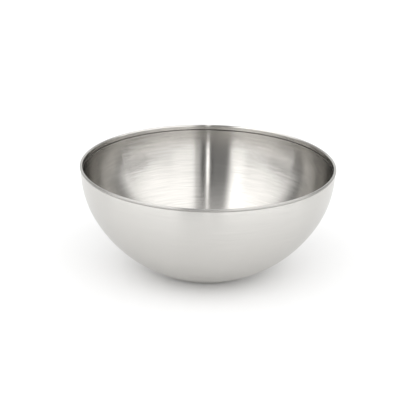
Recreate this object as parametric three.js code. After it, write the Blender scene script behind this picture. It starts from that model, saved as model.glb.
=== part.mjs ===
// A double-walled serving bowl of brushed stainless steel. The outer shell's edge is rolled out and over the rim
// and folded down inside as a band, the inner bowl's stepped edge is held in that fold, and a sealing bead lies
// above it. Millimetres, +Z up, with the origin in the middle of the ring that the bowl stands on.
import * as THREE from 'three';

// Overall size
const rimDiameter = 282;
const bowlHeight = 122;

// Sheet metal
const outerSheet = 0.6;
const innerSheet = 0.5;

// Wall section: foot, belly and side are arcs that run into each other, from the flat bottom to upright
const footTurn = THREE.MathUtils.degToRad(22);
const sideTurn = THREE.MathUtils.degToRad(29);

// Outer shell
const standRadius = 38; // outer edge of the flat standing ring
const standWidth = 8; // width of that ring
const footRadius = 45; // bend from the ring into the belly
const recessDepth = 1; // pressed-up middle of the base
const recessBend = 2; // bends of that step, at mid sheet

// Inner bowl
const floorGap = 6; // air between the two bottoms
const floorInset = 2; // the flat floor ends this far inside the standing ring
const cornerRadius = 50; // bend from the floor into the belly

// Folded rim
const rollOverhang = 1; // how far the rolled rim stands out from the wall
const creaseRadius = 0.3; // bend between the wall and the roll, on the outside
const foldClearance = 0.15; // on each side of the inner bowl's edge
const bandDepth = 5.3; // from the top of the rim to the band's lower edge
const stepBend = 0.9; // bends of the inner bowl's step, at mid sheet
const sealHeight = 1;
const sealClearance = 0.1;

// Facets
const segments = 60; // round the axis
const wallFacet = 0.2; // most that a facet cuts into an arc
const bendFacet = Math.PI / 6; // most that a tight bend turns in one facet

// Places that the pieces share
const rimRadius = rimDiameter / 2;
const wallRadius = rimRadius - rollOverhang;
const foldWidth = innerSheet + 2 * foldClearance;
const rollRadius = (rollOverhang + foldWidth) / 2 + outerSheet;
const rollCentreRadius = rimRadius - rollRadius;
const rollCentreHeight = bowlHeight - rollRadius;
const bandBottom = bowlHeight - bandDepth;
const sealTop = bowlHeight - outerSheet - sealClearance;
const sealBottom = sealTop - sealHeight;

// One face of a sheet, drawn in the half-plane of radius and height by moving forward and turning.
// A turn to the left is positive, and the sheet lies to the left of its face.
class SheetFace {
  constructor(radius, height) {
    this.point = new THREE.Vector2(radius, height);
    this.heading = 0;
    this.samples = [];
    this.mark();
  }

  left() {
    return new THREE.Vector2(-Math.sin(this.heading), Math.cos(this.heading));
  }

  mark() {
    this.samples.push({ point: this.point.clone(), left: this.left() });
  }

  forward(length) {
    const ahead = new THREE.Vector2(Math.cos(this.heading), Math.sin(this.heading));
    this.point.addScaledVector(ahead, length);
    this.mark();
  }

  turn(radius, angle) {
    const toCentre = Math.sign(angle) * radius;
    const centre = this.point.clone().addScaledVector(this.left(), toCentre);
    const facetAngle = Math.min(bendFacet, 2 * Math.acos(1 - wallFacet / Math.max(radius, wallFacet)));
    const facets = Math.ceil(Math.abs(angle) / facetAngle);
    for (let i = 0; i < facets; i += 1) {
      this.heading += angle / facets;
      this.point.copy(centre).addScaledVector(this.left(), -toCentre);
      this.mark();
    }
  }

  // The closed section of the sheet: this face out to the edge, and the other face back.
  section(thickness) {
    const near = this.samples.map(({ point }) => point);
    const far = this.samples.map(({ point, left }) => point.clone().addScaledVector(left, thickness));
    return [...near, ...far.reverse()];
  }
}

// Foot, belly and side of a wall, from the edge of its flat bottom to where it stands upright.
// The belly's and the side's radii are the pair that covers the run outwards and the rise.
function raiseWall(face, bottomBend, mouthRadius, mouthHeight) {
  const sinFoot = Math.sin(footTurn);
  const cosFoot = Math.cos(footTurn);
  const sinSide = Math.sin(sideTurn);
  const cosSide = Math.cos(sideTurn);
  const reach = new THREE.Matrix3(
    cosSide - sinFoot, 1 - cosSide, 0,
    cosFoot - sinSide, sinSide, 0,
    0, 0, 1,
  );
  const run = mouthRadius - face.point.x - bottomBend * sinFoot;
  const rise = mouthHeight - face.point.y - bottomBend * (1 - cosFoot);
  const { x: bellyRadius, y: sideRadius } = new THREE.Vector3(run, rise, 0).applyMatrix3(reach.invert());
  face.turn(bottomBend, footTurn);
  face.turn(bellyRadius, Math.PI / 2 - footTurn - sideTurn);
  face.turn(sideRadius, sideTurn);
}

// Two opposite bends that carry a sheet over to the right by a shift: their radii on the sheet's right face,
// the angle of each, and the length that they take up.
function stepBends(shift, first, second) {
  const angle = Math.acos(1 - shift / (first + second));
  const length = (first + second) * Math.sin(angle);
  return { first, second, angle, length };
}

function drawStep(face, step) {
  face.turn(step.first, -step.angle);
  face.turn(step.second, step.angle);
}

function revolve(name, section, material) {
  const mesh = new THREE.Mesh(new THREE.LatheGeometry(section, segments), material);
  mesh.name = name;
  return mesh;
}

// Inner bowl: floor, wall flush with the band, and the step that carries its edge out into the fold
const edgeShift = outerSheet + foldClearance;
const edgeStep = stepBends(edgeShift, stepBend - innerSheet / 2, stepBend + innerSheet / 2);
const mouthRadius = rimRadius - 2 * rollRadius + innerSheet;
const edgeTop = sealBottom - sealClearance;
const innerFace = new SheetFace(0, recessDepth + outerSheet + floorGap);
innerFace.forward(standRadius - floorInset);
raiseWall(innerFace, cornerRadius, mouthRadius, bandBottom - edgeStep.length);
drawStep(innerFace, edgeStep);
innerFace.forward(edgeTop - bandBottom);

const innerBowl = revolve(
  'inner_bowl',
  innerFace.section(innerSheet),
  new THREE.MeshStandardMaterial({ color: 0xcbc8c2, roughness: 0.26, metalness: 1 }),
);

// Outer shell: raised base, standing ring, wall, upright collar, rolled rim and the band inside it
const recessStep = stepBends(recessDepth, recessBend - outerSheet / 2, recessBend + outerSheet / 2);
const rollStep = stepBends(rollOverhang, creaseRadius, rollRadius);
const bandLength = rollCentreHeight - bandBottom;
const outerFace = new SheetFace(0, recessDepth);
outerFace.forward(standRadius - standWidth - recessStep.length);
drawStep(outerFace, recessStep);
outerFace.forward(standWidth);
raiseWall(outerFace, footRadius, wallRadius, bandBottom);
outerFace.forward(bandLength - rollStep.length);
drawStep(outerFace, rollStep);
outerFace.turn(rollRadius, Math.PI);
outerFace.forward(bandLength);

const outerShell = revolve(
  'outer_shell',
  outerFace.section(outerSheet),
  new THREE.MeshStandardMaterial({ color: 0xd2cfc8, roughness: 0.34, metalness: 1 }),
);

// Sealing bead: a flat-bottomed ring that follows the round top of the roll
const sealHalfWidth = rollRadius - outerSheet - sealClearance;
const sealSection = new THREE.Path();
sealSection.moveTo(rollCentreRadius - sealHalfWidth, sealBottom);
sealSection.lineTo(rollCentreRadius + sealHalfWidth, sealBottom);
sealSection.absarc(rollCentreRadius, rollCentreHeight, sealHalfWidth, 0, Math.PI);
sealSection.closePath();
const arcDivisions = Math.PI / bendFacet / 2; // a path draws two steps of an arc for each division

const rimSeal = revolve(
  'rim_seal',
  sealSection.getPoints(arcDivisions),
  new THREE.MeshStandardMaterial({ color: 0x5d5b57, roughness: 0.8, metalness: 0 }),
);

// The sections turn about Y, so the group stands them up on +Z
const bowl = new THREE.Group();
bowl.rotation.x = Math.PI / 2;
bowl.add(outerShell, innerBowl, rimSeal);

export default bowl;
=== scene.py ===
import math

import bpy
from mathutils import Matrix, Vector


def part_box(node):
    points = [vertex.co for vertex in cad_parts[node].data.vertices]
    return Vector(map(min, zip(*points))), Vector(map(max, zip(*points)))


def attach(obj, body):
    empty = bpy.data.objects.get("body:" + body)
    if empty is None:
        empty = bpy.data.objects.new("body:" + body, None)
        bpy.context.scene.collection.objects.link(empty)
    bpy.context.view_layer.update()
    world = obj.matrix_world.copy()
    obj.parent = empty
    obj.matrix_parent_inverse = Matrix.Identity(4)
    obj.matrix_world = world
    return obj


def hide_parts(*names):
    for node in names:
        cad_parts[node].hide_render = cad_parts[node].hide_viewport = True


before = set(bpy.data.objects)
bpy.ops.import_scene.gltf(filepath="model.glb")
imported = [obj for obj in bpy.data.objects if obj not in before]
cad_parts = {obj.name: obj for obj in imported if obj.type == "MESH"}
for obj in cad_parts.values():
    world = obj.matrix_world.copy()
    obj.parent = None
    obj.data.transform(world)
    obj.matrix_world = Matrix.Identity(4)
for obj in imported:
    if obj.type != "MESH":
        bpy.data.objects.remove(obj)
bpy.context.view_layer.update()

mm = 0.001
white = (1, 1, 1, 1)
scene = bpy.context.scene
scene.view_settings.view_transform = "Standard"
print("frame loaded:", ", ".join(sorted(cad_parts)))

# Sections. A face is a list of (radius, height, heading) along one side of a sheet,
# and the sheet lies to the left of its way.
bendStep = math.radians(11)  # turn per row of faces in the tight bends
cornerStep = 2 * bendStep  # and round the cut edges
support = 0.4 * mm  # points this close to a straight's ends keep the shading of the bends off it
wallShape = {
    "footTurn": math.radians(22),
    "sideTurn": math.radians(29),
    "step": math.radians(1.6),  # turn per row of faces in the long arcs
}


def drawStraight(face, length):
    r, z, heading = face[-1]
    stops = [length]
    if length > 4 * support:
        stops = [support, length / 2, length - support, length]
    for stop in stops:
        face.append((r + stop * math.cos(heading), z + stop * math.sin(heading), heading))


def drawBend(face, radius, angle, step=bendStep):
    r, z, heading = face[-1]
    side = math.copysign(radius, angle)
    centreR = r - side * math.sin(heading)
    centreZ = z + side * math.cos(heading)
    count = math.ceil(abs(angle) / step)
    for i in range(1, count + 1):
        turned = heading + angle * i / count
        face.append((centreR + side * math.sin(turned), centreZ - side * math.cos(turned), turned))


# Two opposite bends that carry the sheet over to its right, from their radii on its right face
def stepBends(shift, first, second):
    angle = math.acos(1 - shift / (first + second))
    return {"first": first, "second": second, "angle": angle, "length": (first + second) * math.sin(angle)}


def drawStep(face, step):
    drawBend(face, step["first"], -step["angle"])
    drawBend(face, step["second"], step["angle"])


# Foot, belly and side of a wall, from the edge of its flat bottom to where it stands upright
def drawWall(face, footBend, mouthRadius, mouthHeight):
    footTurn, sideTurn, step = wallShape["footTurn"], wallShape["sideTurn"], wallShape["step"]
    sinFoot, cosFoot = math.sin(footTurn), math.cos(footTurn)
    sinSide, cosSide = math.sin(sideTurn), math.cos(sideTurn)
    r, z = face[-1][:2]
    reach = Matrix(((cosSide - sinFoot, 1 - cosSide), (cosFoot - sinSide, sinSide)))
    left = Vector((mouthRadius - r - footBend * sinFoot, mouthHeight - z - footBend * (1 - cosFoot)))
    bellyBend, sideBend = reach.inverted() @ left
    drawBend(face, footBend, footTurn, step)
    drawBend(face, bellyBend, math.pi / 2 - footTurn - sideTurn, step)
    drawBend(face, sideBend, sideTurn, step)


# The closed outline of a sheet: its face, the cut edge with rounded corners, and the other face back
def sheetOutline(face, sheet, corner):
    edge = [face[-1]]
    drawBend(edge, corner, math.pi / 2, cornerStep)
    drawStraight(edge, sheet - 2 * corner)
    drawBend(edge, corner, math.pi / 2, cornerStep)
    back = [(r - sheet * math.sin(h), z + sheet * math.cos(h)) for r, z, h in reversed(face[:-1])]
    return [point[:2] for point in face + edge[1:]] + back


# Short ways to write node trees
def addNode(tree, kind, values=None, **settings):
    node = tree.nodes.new(kind)
    for key, value in settings.items():
        setattr(node, key, value)
    for key, value in (values or {}).items():
        if isinstance(value, bpy.types.NodeSocket):
            tree.links.new(value, node.inputs[key])
        else:
            node.inputs[key].default_value = value
    return node


def calc(tree, kind, a, b=0.0, **settings):
    return addNode(tree, "ShaderNodeMath", {0: a, 1: b}, operation=kind, **settings).outputs[0]


def vectorCalc(tree, kind, values):
    return addNode(tree, "ShaderNodeVectorMath", values, operation=kind).outputs[0]


def distance(tree, a, b):
    squares = calc(tree, "ADD", calc(tree, "MULTIPLY", a, a), calc(tree, "MULTIPLY", b, b))
    return calc(tree, "SQRT", squares)


def splitVector(tree, vector):
    parts = addNode(tree, "ShaderNodeSeparateXYZ", {0: vector}).outputs
    return parts["X"], parts["Y"], parts["Z"]


def mapRange(tree, value, start, end=(0.0, 1.0), **settings):
    return addNode(tree, "ShaderNodeMapRange", {
        "Value": value, "From Min": start[0], "From Max": start[1], "To Min": end[0], "To Max": end[1],
    }, **settings).outputs[0]


def mixValues(tree, share, a, b):
    return addNode(tree, "ShaderNodeMix", {0: share, 2: a, 3: b}).outputs[0]


def mixColours(tree, share, a, b):
    return addNode(tree, "ShaderNodeMix", {0: share, 6: a, 7: b}, data_type="RGBA").outputs[2]


def opaque(tone):
    return (*tone, 1)


def newTree(name, kind, inputs, outputs):
    tree = bpy.data.node_groups.new(name, kind)
    for way, sockets in (("INPUT", inputs), ("OUTPUT", outputs)):
        for socket, holds in sockets.items():
            tree.interface.new_socket(socket, in_out=way, socket_type="NodeSocket" + holds)
    return tree, addNode(tree, "NodeGroupInput").outputs, addNode(tree, "NodeGroupOutput").inputs


def newMaterial(name):
    material = bpy.data.materials.new(name)
    material.use_nodes = True
    material.node_tree.nodes.clear()
    return material, material.node_tree


def showSurface(tree, shader):
    output = addNode(tree, "ShaderNodeOutputMaterial")
    tree.links.new(shader.outputs[0], output.inputs["Surface"])


# Geometry Nodes: turns a section about Z into a closed, smooth mesh with its own UV map
def makeTurningTree():
    tree, given, result = newTree(
        "turnSection", "GeometryNodeTree",
        {"Section": "Geometry", "Segments": "Int", "Finish": "Material"}, {"Turned": "Geometry"})
    section = given["Section"]
    points = addNode(tree, "GeometryNodeAttributeDomainSize", {"Geometry": section}).outputs["Point Count"]
    grid = addNode(tree, "GeometryNodeMeshGrid", {
        "Size X": 1.0, "Size Y": 1.0,
        "Vertices X": calc(tree, "ADD", given["Segments"], 1.0), "Vertices Y": points,
    })
    position = addNode(tree, "GeometryNodeInputPosition").outputs[0]
    x, y = splitVector(tree, position)[:2]
    angle = calc(tree, "MULTIPLY", calc(tree, "ADD", x, 0.5), math.tau)  # the grid runs from -0.5 to 0.5
    row = calc(tree, "MULTIPLY", calc(tree, "ADD", y, 0.5), calc(tree, "SUBTRACT", points, 1.0))
    found = addNode(tree, "GeometryNodeSampleIndex", {
        "Geometry": section, "Index": calc(tree, "ROUND", row),
    }, data_type="FLOAT_VECTOR", domain="POINT")
    tree.links.new(position, found.inputs["Value"])
    radius, height = splitVector(tree, found.outputs[0])[::2]
    turned = addNode(tree, "ShaderNodeCombineXYZ", {
        "X": calc(tree, "MULTIPLY", radius, calc(tree, "COSINE", angle)),
        "Y": calc(tree, "MULTIPLY", radius, calc(tree, "SINE", angle)),
        "Z": height,
    })
    mapped = addNode(tree, "GeometryNodeStoreNamedAttribute", {
        "Geometry": grid.outputs["Mesh"], "Name": "UVMap",
    }, data_type="FLOAT2", domain="CORNER")
    tree.links.new(grid.outputs["UV Map"], mapped.inputs["Value"])
    placed = addNode(tree, "GeometryNodeSetPosition",
                     {"Geometry": mapped.outputs[0], "Position": turned.outputs[0]})
    closed = addNode(tree, "GeometryNodeMergeByDistance",
                     {"Geometry": placed.outputs[0], "Distance": 0.001 * mm})
    smooth = addNode(tree, "GeometryNodeSetShadeSmooth",
                     {"Geometry": closed.outputs[0], "Shade Smooth": True})
    real = addNode(tree, "GeometryNodeRealizeInstances", {"Geometry": smooth.outputs[0]})
    dressed = addNode(tree, "GeometryNodeSetMaterial",
                      {"Geometry": real.outputs[0], "Material": given["Finish"]})
    tree.links.new(dressed.outputs[0], result["Turned"])
    return tree


turningTree = makeTurningTree()


def turnPiece(name, outline, segments, finish):
    mesh = bpy.data.meshes.new(name)
    mesh.from_pydata([(r, 0, z) for r, z in outline], [(i, i + 1) for i in range(len(outline) - 1)], [])
    piece = bpy.data.objects.new(name, mesh)
    scene.collection.objects.link(piece)
    turning = piece.modifiers.new("turning", "NODES")
    turning.node_group = turningTree
    values = {"Segments": segments, "Finish": finish}
    for socket in turningTree.interface.items_tree:
        if socket.name in values:
            turning[socket.identifier] = values[socket.name]
    graph = bpy.context.evaluated_depsgraph_get()
    turned = bpy.data.meshes.new_from_object(piece.evaluated_get(graph))
    piece.modifiers.remove(turning)
    piece.data = turned
    turned.name = name
    print(name, "turned:", len(turned.polygons), "faces")
    return piece


# Brushing that both sheets share. Each size of line has a spacing, and a number of breaks along the circle.
brushing = {
    "grooves": (0.12 * mm, 5.0),
    "fine": (0.3 * mm, 4.0),
    "middle": (0.7 * mm, 3.0),
    "broad": (1.2 * mm, 4.0),
    "broadShare": 0.2,  # of the broad lines in the colour
    "toneRange": (0.35, 0.65),  # of the lines, from the dark tone to the pale one
    "roughRange": (0.25, 0.75),  # of the lines, from the smoothest to the roughest
    "polishBlend": 0.01,  # half of the way from brushed to polished, as a share of the section
    # roughness inside the rings of painted shade
    "shadeRoughness": 0.45,
    "shadeFade": (0.35, 0.65),  # distance at which the painted shade begins to fade and ends, in widths of its ring
    "nearAxis": 0.01 * mm,  # keeps the lines from dividing by nothing in the middle of the base
}


# Brush lines: fine scratches that run round the axis, seamless all the way round
def makeBrushLines():
    tree, given, result = newTree(
        "brushLines", "ShaderNodeTree", {"Spacing": "Float", "Breaks": "Float"}, {"Lines": "Float"})
    x, y, z = splitVector(tree, addNode(tree, "ShaderNodeTexCoord").outputs["Object"])
    radius = distance(tree, x, y)
    safe = calc(tree, "MAXIMUM", radius, brushing["nearAxis"])
    across = addNode(tree, "ShaderNodeCombineXYZ", {
        "X": calc(tree, "DIVIDE", radius, given["Spacing"]),
        "Y": calc(tree, "DIVIDE", z, given["Spacing"]),
        "Z": calc(tree, "MULTIPLY", calc(tree, "DIVIDE", x, safe), given["Breaks"]),
    })
    noise = addNode(tree, "ShaderNodeTexNoise", {
        "Vector": across.outputs[0],
        "W": calc(tree, "MULTIPLY", calc(tree, "DIVIDE", y, safe), given["Breaks"]),
        "Scale": 1.0, "Detail": 2.0, "Roughness": 0.6,
    }, noise_dimensions="4D")
    tree.links.new(noise.outputs[0], result["Lines"])
    return tree


brushLines = makeBrushLines()


# Brushed normal: each groove tips the light up or down the wall, and not round the axis
def makeBrushedNormal():
    tree, given, result = newTree(
        "brushedNormal", "ShaderNodeTree", {"Lines": "Float", "Spread": "Float"}, {"Normal": "Vector"})
    upright = addNode(tree, "ShaderNodeNewGeometry").outputs["Normal"]
    along = addNode(tree, "ShaderNodeTangent", direction_type="RADIAL", axis="Z").outputs[0]
    across = vectorCalc(tree, "CROSS_PRODUCT", {0: upright, 1: along})
    tip = calc(tree, "MULTIPLY", calc(tree, "SUBTRACT", given["Lines"], 0.5), given["Spread"])
    tipped = vectorCalc(tree, "SCALE", {0: across, "Scale": tip})
    normal = vectorCalc(tree, "ADD", {0: upright, 1: tipped})
    tree.links.new(vectorCalc(tree, "NORMALIZE", {0: normal}), result["Normal"])
    return tree


brushedNormal = makeBrushedNormal()


# Painted shade in a narrow ring round the axis: 1 close to a point of the section, falling to 0
def makeRingMask():
    tree, given, result = newTree(
        "ringMask", "ShaderNodeTree",
        {"Radius": "Float", "Height": "Float", "Width": "Float"}, {"Mask": "Float"})
    x, y, z = splitVector(tree, addNode(tree, "ShaderNodeTexCoord").outputs["Object"])
    out = calc(tree, "SUBTRACT", distance(tree, x, y), given["Radius"])
    up = calc(tree, "SUBTRACT", z, given["Height"])
    away = calc(tree, "DIVIDE", distance(tree, out, up), given["Width"])
    mask = mapRange(tree, away, brushing["shadeFade"], (1.0, 0.0), interpolation_type="SMOOTHSTEP")
    tree.links.new(mask, result["Mask"])
    return tree


ringMask = makeRingMask()


# Brushed steel, which may be polished from one row of the section on
def makeSteel(name, look, polishedFrom=None):
    material, tree = newMaterial(name)

    def useGroup(group, values):
        return addNode(tree, "ShaderNodeGroup", values, node_tree=group).outputs[0]

    def lines(size):
        spacing, breaks = brushing[size]
        return useGroup(brushLines, {"Spacing": spacing, "Breaks": breaks})

    mixed = mixValues(tree, 0.5, lines("fine"), lines("middle"))
    streaks = mixValues(tree, brushing["broadShare"], mixed, lines("broad"))
    contrast = mapRange(tree, streaks, brushing["toneRange"])
    colour = mixColours(tree, contrast, opaque(look["darkTone"]), opaque(look["paleTone"]))
    roughness = mapRange(tree, mixed, brushing["roughRange"], look["roughness"])
    if polishedFrom is not None:
        row = splitVector(tree, addNode(tree, "ShaderNodeUVMap", uv_map="UVMap").outputs[0])[1]
        blend = brushing["polishBlend"]
        inside = mapRange(tree, row, (polishedFrom - blend, polishedFrom + blend))
        roughness = mixValues(tree, inside, roughness, look["polished"])
    # Painted shade: a darker colour mixed in rings where the roll, the crease and the seam fall into shade
    for radius, height, width, paintedShade in look["paintedShade"]:
        mask = useGroup(ringMask, {"Radius": radius, "Height": height, "Width": width})
        colour = mixColours(tree, mask, colour, opaque(paintedShade))
        roughness = mixValues(tree, mask, roughness, brushing["shadeRoughness"])
    steel = addNode(tree, "ShaderNodeBsdfPrincipled", {
        "Metallic": 1.0,
        "Anisotropic": look["anisotropic"],
        "Anisotropic Rotation": 0.25,  # a quarter turn, from along the lines to across them
        "Specular Tint": opaque(look["edgeTint"]),
        "Base Color": colour,
        "Roughness": roughness,
        "Normal": useGroup(brushedNormal, {"Lines": lines("grooves"), "Spread": look["spread"]}),
        "Tangent": addNode(tree, "ShaderNodeTangent", direction_type="RADIAL", axis="Z").outputs[0],
    })
    showSurface(tree, steel)
    return material


# Outer shell: raised base, standing ring, wall, upright collar, rolled rim and the band inside it
outer = {
    "sheet": 0.6 * mm,
    "standRadius": 38 * mm,
    "standWidth": 8 * mm,
    "footBend": 45 * mm,
    "recessDepth": 1 * mm,
    "recessBend": 2 * mm,
    "overhang": 1 * mm,  # of the rolled rim over the wall
    "crease": 0.3 * mm,  # bend between the wall and the roll
    "bandDepth": 5.3 * mm,  # from the top of the rim to the band's lower edge
    "corner": 0.15 * mm,
    "segments": 256,
}
inner = {
    "sheet": 0.5 * mm,
    "clearance": 0.15 * mm,  # on each side of its edge in the fold
    "floorInset": 2 * mm,
    "cornerBend": 50 * mm,
    "stepBend": 0.9 * mm,
    "corner": 0.15 * mm,
    "segments": 256,
}
shellLow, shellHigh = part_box("outer_shell")
rimRadius, rimHeight = shellHigh.x, shellHigh.z
wallRadius = rimRadius - outer["overhang"]
rollRadius = outer["sheet"] + inner["clearance"] + (inner["sheet"] + outer["overhang"]) / 2
rollHeight = rimHeight - rollRadius  # of the middle of the roll
bandBottom = rimHeight - outer["bandDepth"]
bandRadius = rimRadius - 2 * rollRadius
# Dark tone of the painted shade in the seam under the band
seamShade = (0.14, 0.128, 0.115)

outerLook = {
    "darkTone": (0.56, 0.55, 0.528),
    "paleTone": (0.64, 0.629, 0.604),
    "edgeTint": (0.95, 0.95, 0.95),  # at a grazing angle
    "roughness": (0.23, 0.27),
    "polished": 0.2,  # roughness of the roll's inside and the band
    "anisotropic": 0.95,
    "spread": 0.3,  # of the grooves' slopes
    "paintedShade": [  # rings of painted shade: radius, height, width, tone
        (rimRadius, rollHeight + 0.2 * mm, 2.7 * mm, (0.5, 0.489, 0.469)),  # painted shade on the rolled rim
        (wallRadius, rollHeight - 1.3 * mm, 1.1 * mm, (0.26, 0.25, 0.238)),  # painted shade in the crease under the roll
        # painted shade in the seam at the band's lower edge
        (bandRadius + outer["sheet"] / 2, bandBottom, 0.7 * mm, seamShade),
    ],
}


def makeOuterShell():
    sheet, bend = outer["sheet"], outer["recessBend"]
    step = stepBends(outer["recessDepth"], bend - sheet / 2, bend + sheet / 2)
    roll = stepBends(outer["overhang"], outer["crease"], rollRadius)
    band = rollHeight - bandBottom
    face = [(0, shellLow.z + outer["recessDepth"], 0)]
    drawStraight(face, outer["standRadius"] - outer["standWidth"] - step["length"])
    drawStep(face, step)
    drawStraight(face, outer["standWidth"])
    drawWall(face, outer["footBend"], wallRadius, bandBottom)
    drawStraight(face, band - roll["length"])
    drawStep(face, roll)
    rollStart = len(face)
    drawBend(face, rollRadius, math.pi)
    rollTop = (rollStart + len(face)) // 2
    drawStraight(face, band - outer["corner"])
    outline = sheetOutline(face, sheet, outer["corner"])
    finish = makeSteel("outerSteel", outerLook, rollTop / (len(outline) - 1))
    return turnPiece("outer_shell_finish", outline, outer["segments"], finish)


outerShell = makeOuterShell()

# Inner bowl: floor, wall flush with the band, and the step that carries its edge out into the fold
innerLook = {
    "darkTone": (0.46, 0.448, 0.427),
    "paleTone": (0.595, 0.579, 0.552),
    "edgeTint": (0.7, 0.7, 0.7),
    "roughness": (0.18, 0.22),
    "anisotropic": 1.0,
    "spread": 0.4,
    "paintedShade": [
        # painted shade in the seam where the inner bowl's step meets the band
        (bandRadius + outer["sheet"], bandBottom, 2.6 * mm, seamShade),
    ],
}


def makeInnerBowl():
    low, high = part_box("inner_bowl")
    sheet, bend = inner["sheet"], inner["stepBend"]
    step = stepBends(outer["sheet"] + inner["clearance"], bend - sheet / 2, bend + sheet / 2)
    face = [(0, low.z, 0)]
    drawStraight(face, outer["standRadius"] - inner["floorInset"])
    drawWall(face, inner["cornerBend"], bandRadius + sheet, bandBottom - step["length"])
    drawStep(face, step)
    drawStraight(face, high.z - bandBottom - inner["corner"])
    outline = sheetOutline(face, sheet, inner["corner"])
    return turnPiece("inner_bowl_finish", outline, inner["segments"], makeSteel("innerSteel", innerLook))


innerBowl = makeInnerBowl()

# Sealing bead in the top of the fold
seal = {
    "corner": 0.12 * mm,
    "segments": 256,
    "darkTone": (0.12, 0.115, 0.11),
    "paleTone": (0.2, 0.19, 0.18),
    "roughness": (0.6, 0.8),
    "speckles": 900.0,  # per metre
}


def makeSealant():
    material, tree = newMaterial("rimSealant")
    where = addNode(tree, "ShaderNodeTexCoord").outputs["Object"]
    speckle = addNode(tree, "ShaderNodeTexNoise",
                      {"Vector": where, "Scale": seal["speckles"], "Detail": 3.0}).outputs[0]
    body = addNode(tree, "ShaderNodeBsdfPrincipled", {
        "Base Color": mixColours(tree, speckle, opaque(seal["darkTone"]), opaque(seal["paleTone"])),
        "Roughness": mapRange(tree, speckle, (0.0, 1.0), seal["roughness"]),
    })
    showSurface(tree, body)
    return material


def makeRimSeal():
    low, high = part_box("rim_seal")
    corner = seal["corner"]
    centre = rimRadius - rollRadius
    half = high.x - centre
    side = high.z - low.z - half - corner
    face = [(centre - half + corner, low.z, 0)]
    drawStraight(face, 2 * (half - corner))
    drawBend(face, corner, math.pi / 2, cornerStep)
    drawStraight(face, side)
    drawBend(face, half, math.pi)
    drawStraight(face, side)
    drawBend(face, corner, math.pi / 2, cornerStep)
    outline = [point[:2] for point in face]
    return turnPiece("rim_seal_finish", outline, seal["segments"], makeSealant())


rimSeal = makeRimSeal()

for piece, node, slot in ((outerShell, "outer_shell", "outer_steel"),
                          (innerBowl, "inner_bowl", "inner_steel"),
                          (rimSeal, "rim_seal", "sealant")):
    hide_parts(node)
    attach(piece, "root")
print("pieces ride on root")

# Studio: a white floor, a light tent for the steel to mirror, and soft lamps and walls that light the floor
floorLook = {
    "half": 6.0,
    "drop": 0.02 * mm,  # keeps it clear of the standing ring
    "tone": (0.93, 0.93, 0.93),
}


# White paper, which is clear to a view from below and to what the bowl mirrors in that view
def makeFloor():
    mesh = bpy.data.meshes.new("floor")
    half, level = floorLook["half"], -floorLook["drop"]
    corners = [(-half, -half, level), (half, -half, level), (half, half, level), (-half, half, level)]
    mesh.from_pydata(corners, [], [(0, 1, 2, 3)])
    floor = bpy.data.objects.new("floor", mesh)
    scene.collection.objects.link(floor)
    material, tree = newMaterial("floorPaper")
    paper = addNode(tree, "ShaderNodeBsdfDiffuse", {"Color": opaque(floorLook["tone"])})
    clear = addNode(tree, "ShaderNodeBsdfTransparent", {"Color": white})
    below = addNode(tree, "ShaderNodeNewGeometry").outputs["Backfacing"]
    passed = addNode(tree, "ShaderNodeLightPath").outputs["Transparent Depth"]
    through = calc(tree, "MAXIMUM", below, passed, use_clamp=True)
    both = addNode(tree, "ShaderNodeMixShader", {0: through, 1: paper.outputs[0], 2: clear.outputs[0]})
    showSurface(tree, both)
    mesh.materials.append(material)


makeFloor()

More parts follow.
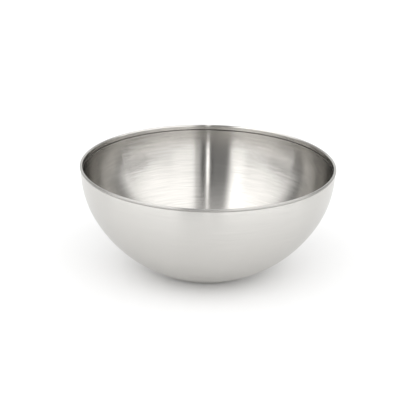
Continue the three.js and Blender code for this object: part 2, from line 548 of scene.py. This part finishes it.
# Light tent that only the steel mirrors: a cloth over the bowl, with soft-edged panels painted one over
# another, all in degrees. The side angle is 0 in the camera's upright plane and positive on its right.
# Over the arch, the angle is 0 at the floor on the camera's side, 90 overhead and 180 at the floor behind.
# A level is an elevation on the camera's side. Each range says where a panel begins, is full, is full to,
# and ends. A panel with a value for narrow gets narrower towards the top of the arch.
allAcross = (-92, -91, 91, 92)
panels = {
    "cloth": {"side": allAcross, "over": (-5, -4, 184, 185), "bright": 0.29},
    "back": {"side": allAcross, "over": (150, 164, 184, 185), "bright": 1.0},
    "backMiddle": {"side": (-34, -22, 22, 34), "over": (108, 126, 184, 185), "bright": 0.85},
    "front": {"side": allAcross, "level": (-20, -10, 35, 60), "bright": 0.3},
    "upperLeft": {"side": (-71, -56, -20, -13), "over": (31, 55, 94, 136), "bright": 1.92},
    "upperRight": {"side": (5, 12, 62, 74), "over": (32, 55, 92, 137), "bright": 2.02},
    "lowLeft": {"side": (-92, -91, -26, -20), "level": (-20, -10, 9, 19), "bright": 3.0},
    "lowRight": {"side": (8, 18, 91, 92), "level": (-20, -10, 10, 18), "bright": 3.0},
    "sideLeft": {"side": (-92, -91, -73, -62), "over": (-5, -4, 50, 111), "bright": 2.2},
    "sideRight": {"side": (63, 74, 91, 92), "over": (-5, -4, 50, 111), "bright": 2.4},
    "bandLeft": {"side": (-80, -67, -60, -48), "level": (14, 19, 25, 31), "bright": 0.07},
    "bandRight": {"side": (48, 60, 68, 80), "level": (12, 19, 25, 31), "bright": 0.06},
    "midLeft": {"side": (-59, -44, -22, -18), "over": (8, 26, 42, 60), "bright": 1.3},
    "midRight": {"side": (9, 13, 43, 59), "over": (8, 25, 41, 59), "bright": 1.3},
    "stripeLeft": {"side": (-38, -31, -22, -18), "over": (4, 18, 45, 60), "bright": 1.9},
    "stripeRight": {"side": (9, 14, 29, 37), "over": (4, 18, 45, 60), "bright": 1.74},
    "hotLeft": {"side": (-27, -24, -13, -10), "over": (44, 76, 102, 136), "bright": 3.0},
    "gapLeft": {"side": (-24, -14, 0, 2), "over": (-5, -4, 60, 110), "narrow": 0.11, "bright": 0.28},
    "gapRight": {"side": (-5, -4, 6, 10), "over": (-5, -4, 50, 90), "narrow": 0.15, "bright": 0.07},
    "gapTop": {"side": (-16, -10, 4, 11), "over": (55, 86, 100, 140), "bright": 0.75},
    "greyRight": {"side": (5, 9, 10, 14), "over": (-5, -4, 60, 110), "narrow": 0.18, "bright": 0.9},
    "slit": {"side": (-0.8, -0.4, 0.9, 1.3), "over": (-5, -4, 52, 76), "bright": 4.47},
    "slitTop": {"side": (-1.4, -0.7, 1.1, 1.8), "over": (51, 71, 80, 120), "bright": 1.57},
}
tentShape = {
    "radius": 3.0,
    "cameraSide": (-5, -4, 85, 105),  # over the arch, where the panels that have a level end
    "leastLean": 0.2,  # limit for the panels that get narrower
    "rows": (-3, 185, 2),  # over the arch: from, to and step
    "columns": [  # finer towards the slit
        (-90, -24, 2),
        (-24, -2.5, 0.5),
        (-2.5, 2.5, 0.1),
        (2.5, 24, 0.5),
        (24, 92, 2),
    ],
}


def fade(angle, stops):
    begin, full, fullTo, end = stops
    share = max(0.0, min(1.0, (angle - begin) / (full - begin), (end - angle) / (end - fullTo)))
    return share * share * (3 - 2 * share)


def panelShare(panel, side, over):
    lean = max(tentShape["leastLean"], abs(math.cos(math.radians(over)))) ** panel.get("narrow", 0)
    share = fade(side / lean, panel["side"])
    if "over" in panel:
        return share * fade(over, panel["over"])
    level = math.degrees(math.asin(math.cos(math.radians(side)) * math.sin(math.radians(over))))
    return share * fade(level, panel["level"]) * fade(over, tentShape["cameraSide"])


def tentGlow(side, over):
    glow = 0.0
    for panel in panels.values():
        glow += (panel["bright"] - glow) * panelShare(panel, side, over)
    return glow


def tentPoint(side, over):
    turn, up, radius = math.radians(side), math.radians(over), tentShape["radius"]
    reach = radius * math.cos(turn)
    return radius * math.sin(turn), -reach * math.cos(up), reach * math.sin(up)


def stepsFrom(start, end, step):
    return [start + step * i for i in range(round((end - start) / step))]


def makeTent():
    sides = [side for part in tentShape["columns"] for side in stepsFrom(*part)]
    overs = stepsFrom(*tentShape["rows"])
    spots = [(side, over) for over in overs for side in sides]
    count = len(sides)
    faces = []
    for row in range(len(overs) - 1):
        for column in range(count - 1):
            k = row * count + column
            faces.append((k, k + count, k + count + 1, k + 1))
    mesh = bpy.data.meshes.new("tent")
    mesh.from_pydata([tentPoint(*spot) for spot in spots], [], faces)
    glows = [tentGlow(*spot) for spot in spots]
    mesh.attributes.new("glow", "FLOAT", "POINT").data.foreach_set("value", glows)
    tent = bpy.data.objects.new("tent", mesh)
    scene.collection.objects.link(tent)
    tent.visible_camera = False
    tent.visible_diffuse = False
    tent.visible_shadow = False
    material, tree = newMaterial("tentLight")
    glow = addNode(tree, "ShaderNodeAttribute", attribute_name="glow")
    showSurface(tree, addNode(tree, "ShaderNodeEmission", {"Strength": glow.outputs["Fac"]}))
    mesh.materials.append(material)


makeTent()

# Soft lamps for the floor: azimuth, elevation and strength
lamps = {
    "lampFront": (0, 40, 0.35),
    "lampLeft": (-60, 40, 0.34),
    "lampRight": (60, 40, 0.35),
}
studio = {
    "lampSpread": math.radians(60),
    "walls": 1.24,  # light from the walls, on diffuse surfaces
    "roof": 0.682,  # and from overhead
    "wallTop": math.radians(50),  # elevation where the walls begin to turn into the roof
    "roofEdge": math.radians(75),
}


def addLamp(name):
    azimuth, elevation, strength = lamps[name]
    lamp = bpy.data.lights.new(name, "SUN")
    lamp.angle = studio["lampSpread"]
    lamp.energy = strength
    holder = bpy.data.objects.new(name, lamp)
    scene.collection.objects.link(holder)
    up, turn = math.radians(elevation), math.radians(azimuth)
    place = Vector((math.cos(up) * math.sin(turn), -math.cos(up) * math.cos(turn), math.sin(up)))
    holder.location = place * tentShape["radius"]
    holder.rotation_euler = place.to_track_quat("Z", "Y").to_euler()
    holder.visible_glossy = False
    holder.visible_camera = False


for name in lamps:
    addLamp(name)


# White where it is seen or mirrored, and brighter walls than roof for the floor
def makeWorld():
    world = bpy.data.worlds.new("studio")
    world.use_nodes = True
    scene.world = world
    tree = world.node_tree
    tree.nodes.clear()
    height = splitVector(tree, addNode(tree, "ShaderNodeTexCoord").outputs["Generated"])[2]
    turnOver = (math.sin(studio["wallTop"]), math.sin(studio["roofEdge"]))
    around = mapRange(tree, height, turnOver, (studio["walls"], studio["roof"]))
    ray = addNode(tree, "ShaderNodeLightPath").outputs
    mirrored = calc(tree, "MAXIMUM", ray["Is Glossy Ray"], ray["Is Transmission Ray"])
    seen = calc(tree, "MAXIMUM", ray["Is Camera Ray"], mirrored)
    level = mixValues(tree, seen, around, 1.0)
    light = addNode(tree, "ShaderNodeBackground", {"Color": white, "Strength": level})
    output = addNode(tree, "ShaderNodeOutputWorld")
    tree.links.new(light.outputs[0], output.inputs["Surface"])


makeWorld()
print("studio lit")

# Camera at the photograph's viewing angle, aimed a little below the rim's middle
shot = {
    "distance": 12 * wallRadius,  # from the middle of the rim
    "elevation": math.radians(19.337),
    "yaw": 0.00042,
    "pitch": -0.0291,
    "roll": math.radians(1.031),
    "focal": 1524.7,  # in pixels of the frame
    "frame": 416,
    "sensor": 36,
}


def makeCamera():
    up, side = Vector((0, 0, 1)), Vector((1, 0, 0))
    tilt, roll = shot["elevation"], shot["roll"]
    ahead = Vector((0, math.cos(tilt), -math.sin(tilt)))
    place = Vector((0, 0, rimHeight)) - ahead * shot["distance"]
    aim = (ahead + shot["yaw"] * side + shot["pitch"] * side.cross(ahead)).normalized()
    right = aim.cross(up).normalized()
    over = right.cross(aim)
    rolledRight = right * math.cos(roll) + over * math.sin(roll)
    rolledOver = over * math.cos(roll) - right * math.sin(roll)
    lens = bpy.data.cameras.new("camera")
    lens.sensor_width = shot["sensor"]
    lens.lens = shot["focal"] * shot["sensor"] / shot["frame"]
    camera = bpy.data.objects.new("camera", lens)
    scene.collection.objects.link(camera)
    turned = Matrix((rolledRight, rolledOver, -aim)).transposed().to_4x4()
    camera.matrix_world = Matrix.Translation(place) @ turned
    scene.camera = camera


makeCamera()
